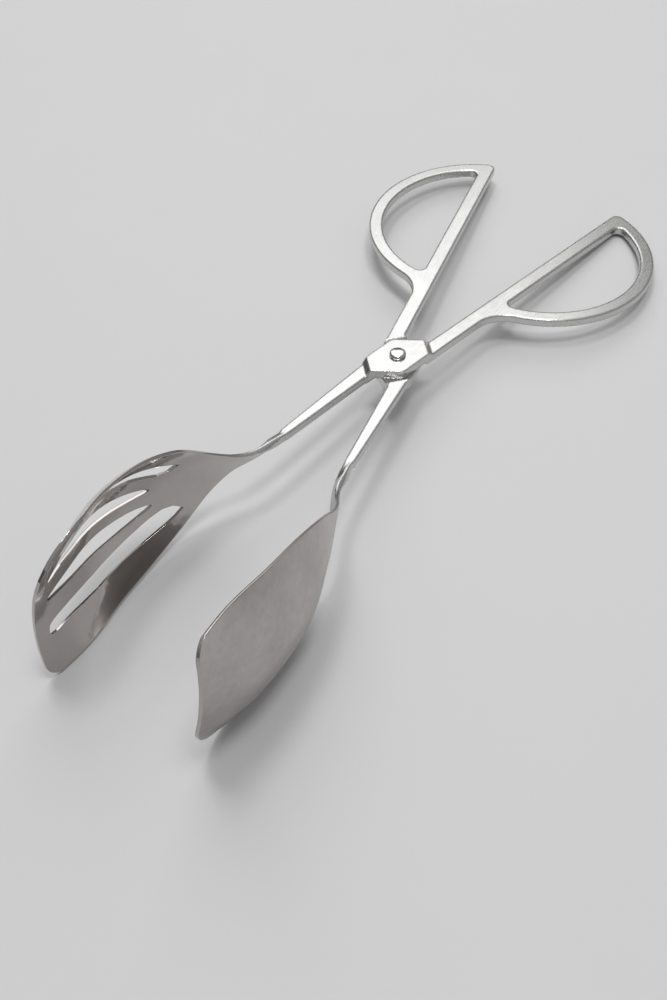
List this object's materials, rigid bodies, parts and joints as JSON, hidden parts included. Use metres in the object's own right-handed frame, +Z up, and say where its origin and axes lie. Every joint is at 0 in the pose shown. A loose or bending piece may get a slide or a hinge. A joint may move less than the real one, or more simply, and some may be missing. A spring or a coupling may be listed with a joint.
{
  "type": "scissor tongs",
  "caption": "Scissor serving tongs: crossed steel arms turning on a rivet, D-shaped finger loops, one slotted and one plain scoop head.",
  "frame": {"origin": "on the table surface, under the middle of the resting tool's bounding box", "axes": "+X from the heads towards the finger loops, +Y towards the slotted head, +Z up from the table"},
  "size_m": [0.2562, 0.1028, 0.053],
  "materials": {
    "slotted_arm_steel": "satin",
    "solid_arm_steel": "satin",
    "rivet_steel": "polished"
  },
  "bodies": {
    "lower_arm": {"solid_arm": "solid_arm_steel", "rivet": "rivet_steel"},
    "upper_arm": {"slotted_arm": "slotted_arm_steel"}
  },
  "joints": [
    {"name": "pivot", "type": "hinge", "parent": "lower_arm", "child": "upper_arm", "pos_m": [0.0128, 0, 0.01428], "axis": [0.0918, 0, 0.9958], "range_deg": [-37.5, 20.5]}
  ]
}
